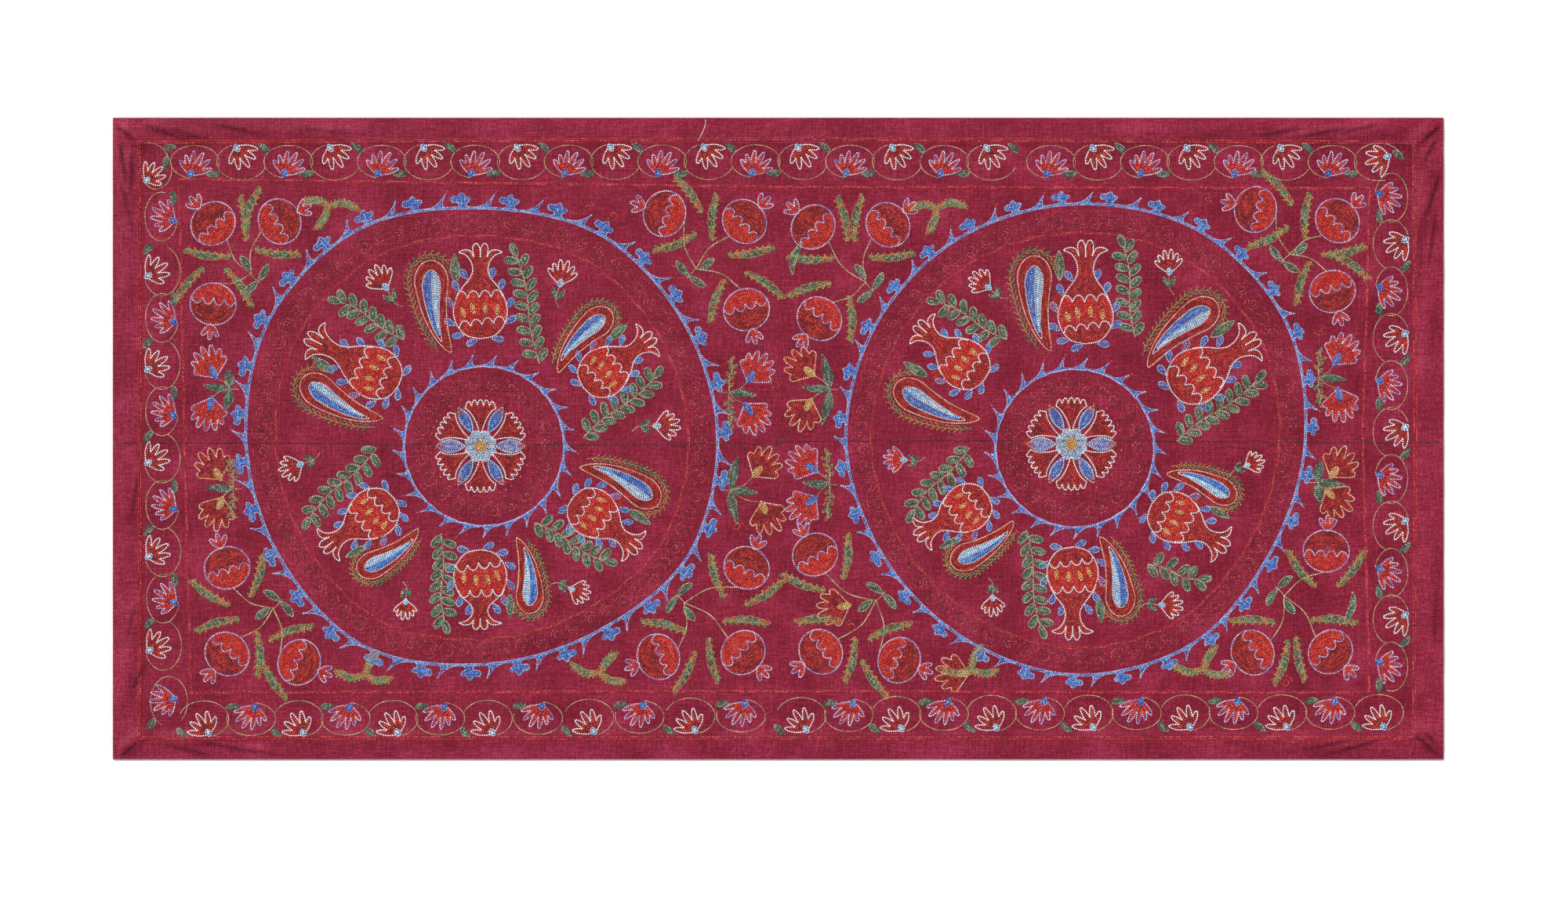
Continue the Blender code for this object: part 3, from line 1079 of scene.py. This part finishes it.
def crease_lift(x, y):
    """How far the creases lift the cloth: each is a raised cosine across and fades along, and the
    highest one counts."""
    lift = np.zeros_like(x)
    for crease in CREASES + WRINKLES:
        along, across = beside_crease(crease, x, y)
        fade = smooth_step(along / CREASE_FADE) * smooth_step((1 - along) / CREASE_FADE)
        ridge = 0.5 * (1 + np.cos(np.pi * np.minimum(np.abs(across) / crease.reach, 1)))
        lift = np.maximum(lift, crease.lift * fade * ridge)
    return lift


def fold_shadow_line(x, y):
    """How dark the painted shadow lines by the folds make the silk, 0 to 1: a bell across each wrinkle's
    foot, on the side away from the key light in the upper left."""
    dark = np.zeros_like(x)
    for crease in WRINKLES:
        along, across = beside_crease(crease, x, y)
        fade = smooth_step(along / 0.25) * smooth_step((1 - along) / 0.5)
        # The side of the wrinkle away from the key light, which comes from the upper left, gets the painted
        # shadow
        facing = 0.53 * (crease.y1 - crease.y0) + 0.64 * (crease.x1 - crease.x0)
        side = 1 if facing > 0 else -1
        foot = across * side - 0.5 * crease.reach
        dark = np.maximum(dark, fade * np.exp(-((foot / FOLD_SHADOW_WIDTH) ** 2)) * crease.lift / 2)
    return dark


# The waves in the cloth: their lengths, their ways in degrees, and their phases
WAVES = [(46, 20, 0.3), (61, 75, 1.9), (38, 130, 4.1), (83, 160, 2.2), (120, 50, 5.0)]


def ripple(x, y):
    """The slight unevenness of cloth that stitches draw in: five crossing waves, 0 to 0.7 mm high."""
    total = np.zeros_like(x)
    for length, way, phase in WAVES:
        a = math.radians(way)
        bend = 6 * np.sin(x / 71 + phase) + 6 * np.sin(y / 57 - phase)
        total += np.sin(2 * np.pi * (x * math.cos(a) + y * math.sin(a) + bend) / length + phase)
    return 0.35 * (1 + total / 3.2).clip(0, 2)


def cloth_columns():
    """X of the grid's lines: fine in the hems, a narrow step beside each, and even between."""
    line = HALF_LENGTH - HEM_WIDTH
    hem = np.linspace(line, HALF_LENGTH, HEM_CELLS + 1)
    count = round(2 * (line - HEM_STEP) / FIELD_CELL)
    field = np.linspace(-(line - HEM_STEP), line - HEM_STEP, count + 1)
    return np.concatenate([-hem[::-1], field, hem])


def cloth_row(x, d, side):
    """Number of the grid's row at a distance d from a strip's outer edge, as a fraction."""
    edge = HEM_WIDTH + HEM_STEP
    inner = HALF_WIDTH - side * seam_line(x) - SEAM_GAP / 2
    return np.where(
        d < edge,
        np.interp(d, np.append(np.linspace(0, HEM_WIDTH, HEM_CELLS + 1), edge), np.arange(HEM_CELLS + 2.0)),
        HEM_CELLS + 1 + (d - edge) / (inner - edge) * FIELD_ROWS,
    )


@lru_cache
def strip_grid(side):
    """X, Y and height of a strip's face, row by row from its outer edge to its seam."""
    edge = HEM_WIDTH + HEM_STEP
    x = cloth_columns()[:, None]
    inner = HALF_WIDTH - side * seam_line(x) - SEAM_GAP / 2
    hem = np.linspace(0, HEM_WIDTH, HEM_CELLS + 1) + 0 * x
    field = edge + (inner - edge) * np.linspace(0, 1, FIELD_ROWS + 1)
    y = side * (HALF_WIDTH - np.hstack([hem, field]))
    x = x + 0 * y
    in_hem = (np.abs(x) > HALF_LENGTH - HEM_WIDTH - 0.1) | (np.abs(y) > HALF_WIDTH - HEM_WIDTH - 0.1)
    under = crease_lift(x, y) + ripple(x, y) * smooth_step((HALF_WIDTH - np.abs(y)) / 20)
    return x, y, under, np.where(in_hem, HEM_THICKNESS, FIELD_THICKNESS), in_hem


def surface(x, y):
    """Height of the cloth's face at points: read off the grid, between its four nearest points."""
    side = np.where(y > seam_line(x), 1, -1)
    column = np.interp(x, cloth_columns(), np.arange(len(cloth_columns()), dtype=float))
    row = cloth_row(x, HALF_WIDTH - side * y, side)
    height = np.zeros_like(x)
    for one in (1, -1):
        _, _, under, thick, _ = strip_grid(one)
        top = under + thick
        i = np.clip(column.astype(int), 0, top.shape[0] - 2)
        j = np.clip(row.astype(int), 0, top.shape[1] - 2)
        u, v = column - i, np.clip(row - j, 0, 1)
        found = top[i, j] * (1 - u) * (1 - v) + top[i + 1, j] * u * (1 - v)
        found += top[i, j + 1] * (1 - u) * v + top[i + 1, j + 1] * u * v
        height = np.where(side == one, found, height)
    return height


# Meshes


def new_piece(name, points, faces):
    """A piece from points in millimetres and faces of one number of sides, that rides on the frame."""
    mesh = bpy.data.meshes.new(name)
    count, sides = faces.shape
    mesh.vertices.add(len(points))
    mesh.vertices.foreach_set("co", (points * MM).astype(np.float32).ravel())
    mesh.loops.add(count * sides)
    mesh.loops.foreach_set("vertex_index", faces.astype(np.int32).ravel())
    mesh.polygons.add(count)
    mesh.polygons.foreach_set("loop_start", np.arange(0, count * sides, sides, dtype=np.int32))
    mesh.update(calc_edges=True)
    mesh.validate()
    mesh.shade_smooth()
    piece = bpy.data.objects.new(name, mesh)
    bpy.context.scene.collection.objects.link(piece)
    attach(piece, "root")
    return piece


def point_values(piece, name, values):
    """Gives every vertex a number, under a name that a material reads."""
    attribute = piece.data.attributes.new(name, "FLOAT", "POINT")
    attribute.data.foreach_set("value", np.asarray(values, np.float32))


def strip_piece(name, side, node):
    """One strip of the cloth: its face and back are the same grid a thickness apart, joined round
    the edge by a band that bulges a little along the hem."""
    x, y, under, thick, in_hem = (a[:, ::-side] for a in strip_grid(side))
    columns, rows = x.shape
    top = np.stack([x, y, under + thick], -1).reshape(-1, 3)
    back = np.stack([x, y, under], -1).reshape(-1, 3)
    number = np.arange(columns * rows).reshape(columns, rows)
    a, b, c, d = (q.ravel() for q in (number[:-1, :-1], number[1:, :-1], number[1:, 1:], number[:-1, 1:]))
    rim = np.concatenate([number[:-1, 0], number[-1, :-1], number[:0:-1, -1], number[0, :0:-1]])
    middle = (top[rim] + back[rim]) / 2
    outer = np.abs(middle[:, 1]) > HALF_WIDTH - 1
    middle[:, 0] += EDGE_BULGE * np.sign(middle[:, 0]) * (np.abs(middle[:, 0]) > HALF_LENGTH - 1)
    middle[:, 1] += EDGE_BULGE * np.sign(middle[:, 1]) * outer
    total = columns * rows
    ring = 2 * total + np.arange(len(rim))
    after, ring_after = np.roll(rim, -1), np.roll(ring, -1)
    faces = [
        np.column_stack([a, b, c, d]),
        np.column_stack([d, c, b, a]) + total,
        np.column_stack([rim, ring, ring_after, after]),
        np.column_stack([ring, rim + total, after + total, ring_after]),
    ]
    piece = new_piece(name, np.vstack([top, back, middle]), np.vstack(faces))
    # How strongly each point takes the hem's tint and painted sheen
    hem = (in_hem * np.where(np.abs(x) > HALF_LENGTH - HEM_WIDTH, 1.0, SIDE_HEM)).ravel()
    hem = np.concatenate([hem, hem, hem[rim]])
    point_values(piece, "hem", hem)
    # The wrinkles' painted shadow lines, for the silk's colour
    fold = fold_shadow_line(x, y).ravel()
    point_values(piece, "fold", np.concatenate([fold, fold, fold[rim]]))
    piece.data.set_sharp_from_angle(angle=math.radians(40))
    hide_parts(node)
    return piece


def sew(name, rows):
    """Sews rows as chain stitch, in one piece.

    Every link is a long diamond from one hole to just past the next, with a peak on its top and
    its foot in the cloth: five points and six faces. `rim` is 1 round its foot and 0 on the
    peak, and `tone` says how light it is, from a slow wave along the row and a little chance.
    """
    chance = np.random.default_rng(len(rows))
    tails, heads, widths, tones, kinds = [], [], [], [], []
    used = sorted({row.thread for row in rows})
    for row in rows:
        thread = THREADS[row.thread]
        holes = even(row.line, LINK)
        count = len(holes) - 1
        wave = np.sin(2 * np.pi * (np.arange(count) * LINK / thread.drift + chance.random()))
        tails.append(holes[:-1])
        heads.append(holes[1:])
        widths.append(np.full(count, row.width))
        tones.append(0.5 + thread.swing * wave + chance.normal(0, TONE_CHANCE, count))
        kinds.append(np.full(count, used.index(row.thread)))
    tail, head = np.vstack(tails), np.vstack(heads)
    width, tone = np.concatenate(widths), np.concatenate(tones)
    count = len(tail)
    along = head - tail
    middle = (tail + head) / 2 + chance.normal(0, 0.08, (count, 2))
    across = np.column_stack([-along[:, 1], along[:, 0]]) / np.hypot(*along.T)[:, None].clip(0.1)
    across = across * (width * chance.uniform(0.68, 0.8, count))[:, None]
    height = LINK_HEIGHT * chance.uniform(0.8, 1.15, count) * (width / ROW) ** 0.5
    corners = [
        (middle + TAIL * along, -0.1), (middle + WIDEST * along + across, -0.05),
        (middle + HEAD * along, 0.2), (middle + WIDEST * along - across, -0.05),
        (middle + PEAK * along, height),
    ]
    points = [np.column_stack([at, surface(*at.T) + lift]) for at, lift in corners]
    points = np.stack(points, 1).reshape(-1, 3)
    sides = np.array([(0, 3, 4), (3, 2, 4), (2, 1, 4), (1, 0, 4), (0, 1, 2), (0, 2, 3)])
    faces = (sides[None] + 5 * np.arange(count)[:, None, None]).reshape(-1, 3)
    piece = new_piece(name, points, faces)
    point_values(piece, "rim", np.tile([1, 1, 1, 1, 0], count))
    point_values(piece, "tone", np.repeat(tone.clip(0, 1), 5))
    for thread in used:
        piece.data.materials.append(thread_material(thread))
    piece.data.polygons.foreach_set("material_index", np.repeat(np.concatenate(kinds), 6).astype(np.int32))
    piece.data.update()
    return piece


# Materials


def add_node(material, kind, links=(), values=None, **settings):
    """Adds one node: each link is (input, node, output), values are its inputs' own, and settings
    name its properties."""
    node = material.node_tree.nodes.new(kind)
    for key, value in settings.items():
        setattr(node, key, value)
    for key, value in (values or {}).items():
        node.inputs[key].default_value = value
    for key, source, output in links:
        material.node_tree.links.new(source.outputs[output], node.inputs[key])
    return node


def new_material(name, roughness, specular, sheen=0.0, tint="#FFFFFF"):
    """An empty material with its shader's constants set on the shader itself."""
    material = bpy.data.materials.new(name)
    material.use_nodes = True
    shader = material.node_tree.nodes["Principled BSDF"]
    constants = {"Roughness": roughness, "Specular IOR Level": specular, "Sheen Weight": sheen}
    for key, value in {**constants, "Sheen Tint": (*linear(tint), 1), "Sheen Roughness": 0.4}.items():
        shader.inputs[key].default_value = value
    return material, shader


def ramp(material, source, output, stops):
    """A colour ramp over a number, from (position, sRGB hex) stops."""
    node = add_node(material, "ShaderNodeValToRGB", [("Fac", source, output)])
    while len(node.color_ramp.elements) < len(stops):
        node.color_ramp.elements.new(0.5)
    for element, (position, colour) in zip(node.color_ramp.elements, stops):
        element.position = position
        element.color = (*linear(colour), 1)
    return node


def noise(material, source, output, scale, detail, roughness=0.5):
    """A noise texture over a place."""
    values = {"Scale": scale, "Detail": detail, "Roughness": roughness}
    return add_node(material, "ShaderNodeTexNoise", [("Vector", source, output)], values)


def multiplied(material, first, second):
    """Two colours, each as (node, output), multiplied."""
    links = [(6, *first), (7, *second)]
    return add_node(material, "ShaderNodeMix", links, {0: 1.0}, data_type="RGBA", blend_type="MULTIPLY")


def bumped(material, links, strength, distance):
    """A bump of a height."""
    return add_node(material, "ShaderNodeBump", links, {"Strength": strength, "Distance": distance})


def shade_with(material, shader, colour, output, bump=None):
    """Links a colour, and a bump if there is one, to the shader."""
    material.node_tree.links.new(colour.outputs[output], shader.inputs["Base Color"])
    if bump:
        material.node_tree.links.new(bump.outputs["Normal"], shader.inputs["Normal"])
    return material


def thread_material(name):
    """Silk embroidery thread, loosely twisted: it shines a little along every link, its shade drifts as the
    dye took, and painted shade darkens each link round its foot, where it dips into the cloth."""
    made = bpy.data.materials.get(f"{name}_thread")
    if made:
        return made
    material, shader = new_material(f"{name}_thread", 0.46, 0.35, 0.12)
    tone = add_node(material, "ShaderNodeAttribute", attribute_name="tone")
    rim = add_node(material, "ShaderNodeAttribute", attribute_name="rim")
    shades = THREADS[name].shades
    stops = [(0.14 + 0.72 * i / (len(shades) - 1), shade) for i, shade in enumerate(shades)]
    colour = ramp(material, tone, "Fac", stops)
    # Painted shade round each link's foot, where it dips into the cloth beside its neighbours
    shade = ramp(material, rim, "Fac", [(0.5, "#FFFFFF"), (1.0, "#BCB4B4")])
    mixed = multiplied(material, (colour, "Color"), (shade, "Color"))
    # Filaments of 0.4 mm, coarser than silk's own, so that they show
    place = add_node(material, "ShaderNodeTexCoord")
    strands = noise(material, place, "Object", 2500.0, 1.0)
    bump = bumped(material, [("Height", strands, "Fac")], 0.25, 0.0002)
    return shade_with(material, shader, mixed, 2, bump)


def silk_material(settings):
    """Crimson silk in plain weave: uneven yarns show as faint slubs both ways, the dye has taken in clouds,
    and the hem is brighter, partly as doubled cloth and partly as painted sheen. Thin lines of painted shadow
    run along the wrinkles' feet. It has the low sheen of a soft silk."""
    material, shader = new_material("crimson_silk", 0.5, 0.16, 0.08, "#E08098")
    place = add_node(material, "ShaderNodeTexCoord")
    layers = []
    # Slubs are 2 mm wide and some 30 mm long; clouds are 70 mm across; the dye mottles at 4 mm
    for scale in ((33, 450, 1), (450, 33, 1), (14, 14, 1), (250, 250, 1)):
        mapping = add_node(material, "ShaderNodeMapping", [("Vector", place, "Object")], {"Scale": scale})
        layers.append(noise(material, mapping, "Vector", 1.0, 2.0, 0.55))
    total, output = layers[0], "Fac"
    for layer, share in zip(layers[1:], (0.5, 0.36, 0.3)):
        links = [(2, total, output), (3, layer, "Fac")]
        total, output = add_node(material, "ShaderNodeMix", links, {0: share}, data_type="FLOAT"), 0
    colour = ramp(material, total, output, [(0.37, "#640A20"), (0.5, "#871D35"), (0.63, "#AA3453")])
    # The hem's brightening: partly the doubled cloth, partly painted sheen where the key light catches the
    # short hems
    hem = add_node(material, "ShaderNodeAttribute", attribute_name="hem")
    bright = add_node(
        material, "ShaderNodeMix", [(6, colour, "Color")], {0: 1.0, 7: (*HEM_TINT_AND_SHEEN, 1)},
        data_type="RGBA", blend_type="MULTIPLY",
    )
    links = [(0, hem, "Fac"), (6, colour, "Color"), (7, bright, 2)]
    hem_tinted_and_lit = add_node(material, "ShaderNodeMix", links, data_type="RGBA", blend_type="MIX")
    # Painted shadow: the folds' thin dark lines darken the silk's colour
    fold = add_node(material, "ShaderNodeAttribute", attribute_name="fold")
    painted_fold_shadow = ramp(material, fold, "Fac", [(0.0, "#FFFFFF"), (1.0, "#8A747C")])
    silk_with_painted_light = multiplied(material, (hem_tinted_and_lit, 2), (painted_fold_shadow, "Color"))
    # The weave is drawn at 1.6 mm, four times as coarse as the silk's
    values = {"Scale": settings.weave_scale, "Distortion": 1.5, "Detail": 1.0}
    weave = [
        add_node(material, "ShaderNodeTexWave", [("Vector", place, "Object")], values, bands_direction=way)
        for way in ("X", "Y")
    ]
    links = [(0, weave[0], "Fac"), (1, weave[1], "Fac")]
    woven = add_node(material, "ShaderNodeMath", links, operation="ADD")
    pucker = noise(material, place, "Object", 85.0, 2.0)
    fine = bumped(material, [("Height", woven, 0)], 0.4, 0.0004)
    broad = bumped(material, [("Height", pucker, "Fac"), ("Normal", fine, "Normal")], 0.55, 0.002)
    return shade_with(material, shader, silk_with_painted_light, 2, broad)


def floor_material():
    """White painted board, matt and even, for the cloth to lie on."""
    material, shader = new_material("white_board", 0.8, 0.1)
    place = add_node(material, "ShaderNodeTexCoord")
    grain = noise(material, place, "Object", 9.0, 1.0)
    colour = ramp(material, grain, "Fac", [(0.3, "#FCFCFC"), (0.7, "#FEFEFE")])
    return shade_with(material, shader, colour, "Color")


# The add-on


class SuzaniCloth(bpy.types.PropertyGroup):
    """What a user would change in the silk."""

    weave_scale: FloatProperty(
        name="Weave scale", description="Yarns across a sixth of a metre", default=100.0, min=10.0
    )


class SuzaniStage(bpy.types.PropertyGroup):
    """What a user would change in the light and the camera."""

    height: FloatProperty(
        name="Camera height", description="How high the camera is above the cloth", default=5.29,
        unit="LENGTH",
    )
    sun: FloatProperty(name="Key light", description="Strength of the soft key light", default=3.1, min=0.0)
    sky: FloatProperty(name="Fill light", description="Strength of the even fill light", default=0.5, min=0.0)
    ground: FloatVectorProperty(
        name="Fill colour", description="Colour of the even fill light", default=(1.0, 1.0, 1.0),
        subtype="COLOR", size=3, min=0.0, max=1.0,
    )


class SUZANI_OT_silk(bpy.types.Operator):
    """Makes the two strips of silk"""

    bl_idname = "suzani.silk"
    bl_label = "Silk strips"

    def execute(self, context):
        silk = silk_material(context.scene.suzani_cloth)
        for name, side, node in (
            ("upper_silk_strip", 1, "upper_strip"), ("lower_silk_strip", -1, "lower_strip"),
        ):
            strip_piece(name, side, node).data.materials.append(silk)
        return {"FINISHED"}


class SUZANI_OT_border(bpy.types.Operator):
    """Sews the frames, the border's vine and its flowers"""

    bl_idname = "suzani.border"
    bl_label = "Border"

    def execute(self, context):
        vines, flowers = border()
        sew("frame_lines", frame_lines())
        sew("border_vine", vines)
        sew("border_flowers", flowers)
        return {"FINISHED"}


class SUZANI_OT_medallions(bpy.types.Operator):
    """Sews the two medallions"""

    bl_idname = "suzani.medallions"
    bl_label = "Medallions"

    def execute(self, context):
        for plan in MEDALLIONS:
            rings, vases, paisleys, sprigs = medallion(plan)
            sew(f"{plan.name}_rings", rings)
            sew(f"{plan.name}_vases", vases)
            sew(f"{plan.name}_paisleys", paisleys)
            sew(f"{plan.name}_sprigs", sprigs)
            sew(f"{plan.name}_scrollwork", scrollwork(plan))
        return {"FINISHED"}


class SUZANI_OT_fruit(bpy.types.Operator):
    """Sews the bunches of pomegranates"""

    bl_idname = "suzani.fruit"
    bl_label = "Pomegranates"

    def execute(self, context):
        fruits, stems = gathered(bunch, BUNCHES)
        sew("pomegranates", fruits)
        sew("fruit_stems", stems)
        return {"FINISHED"}


class SUZANI_OT_side_flowers(bpy.types.Operator):
    """Sews the pairs of flowers beside the medallions"""

    bl_idname = "suzani.side_flowers"
    bl_label = "Side flowers"

    def execute(self, context):
        flowers, stems = gathered(pair, PAIRS)
        for x, y, turn in LONE_FLOWERS:
            flowers += placed(round_flower(True), *polar(turn + 90, -16, (x, y)), turn)
        green, red = strewn()
        sew("side_flowers", flowers + red)
        sew("side_leaves", stems + green)
        return {"FINISHED"}


class SUZANI_OT_seam(bpy.types.Operator):
    """Sews the strips together along the middle"""

    bl_idname = "suzani.seam"
    bl_label = "Middle seam"

    def execute(self, context):
        x = np.arange(-HALF_LENGTH + 4, HALF_LENGTH - 3, 5.0)
        seam = chain(np.column_stack([x, seam_line(x)]), "seam", 1.5)
        for shift in SEAM_PUCKERS:
            seam += chain([(shift, 5), (shift + 1, -2), (shift, -16)], "seam", 1.2)
        sew("middle_seam", seam)
        return {"FINISHED"}


class SUZANI_OT_stage(bpy.types.Operator):
    """Makes the floor, the lights and the camera"""

    bl_idname = "suzani.stage"
    bl_label = "Stage"

    def execute(self, context):
        settings = context.scene.suzani_stage
        points = np.array([(-9, -9), (9, -9), (9, 9), (-9, 9)], float) * 1000
        mesh = bpy.data.meshes.new("floor")
        mesh.from_pydata([(x * MM, y * MM, FLOOR_DROP * MM) for x, y in points], [], [(0, 1, 2, 3)])
        mesh.materials.append(floor_material())
        floor = bpy.data.objects.new("floor", mesh)
        context.scene.collection.objects.link(floor)

        sun = bpy.data.lights.new("key_light", "SUN")
        sun.energy = settings.sun
        sun.angle = math.radians(14)
        key = bpy.data.objects.new("key_light", sun)
        key.rotation_euler = (math.radians(-40), math.radians(-44), 0)
        context.scene.collection.objects.link(key)

        world = bpy.data.worlds.new("studio")
        world.use_nodes = True
        background = world.node_tree.nodes["Background"]
        background.inputs["Color"].default_value = (*settings.ground, 1)
        background.inputs["Strength"].default_value = settings.sky
        context.scene.world = world
        context.scene.view_settings.view_transform = "Standard"

        lens = bpy.data.cameras.new("camera")
        lens.lens = 85
        lens.sensor_width = 36
        lens.clip_end = 100
        camera = bpy.data.objects.new("camera", lens)
        camera.location = (0.0084, -0.0286, settings.height)
        context.scene.collection.objects.link(camera)
        context.scene.camera = camera
        return {"FINISHED"}


class SUZANI_PT_panel(bpy.types.Panel):
    """Lists the suzani's steps and settings"""

    bl_label = "Suzani"
    bl_idname = "SUZANI_PT_panel"
    bl_space_type = "VIEW_3D"
    bl_region_type = "UI"
    bl_category = "Suzani"

    def draw(self, context):
        for operator in OPERATORS:
            self.layout.operator(operator.bl_idname)
        for settings in (context.scene.suzani_cloth, context.scene.suzani_stage):
            for name in settings.__annotations__:
                self.layout.prop(settings, name)


OPERATORS = (
    SUZANI_OT_silk, SUZANI_OT_border, SUZANI_OT_medallions, SUZANI_OT_fruit,
    SUZANI_OT_side_flowers, SUZANI_OT_seam, SUZANI_OT_stage,
)
CLASSES = (SuzaniCloth, SuzaniStage, *OPERATORS, SUZANI_PT_panel)


def register():
    """Registers the add-on's classes and its two groups of settings."""
    for each in CLASSES:
        bpy.utils.register_class(each)
    bpy.types.Scene.suzani_cloth = PointerProperty(type=SuzaniCloth)
    bpy.types.Scene.suzani_stage = PointerProperty(type=SuzaniStage)


def unregister():
    """Takes out what register put in."""
    del bpy.types.Scene.suzani_stage
    del bpy.types.Scene.suzani_cloth
    for each in reversed(CLASSES):
        bpy.utils.unregister_class(each)


def main():
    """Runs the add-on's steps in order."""
    register()
    for operator in OPERATORS:
        group, name = operator.bl_idname.split(".")
        getattr(getattr(bpy.ops, group), name)()


if __name__ == "__main__":
    main()
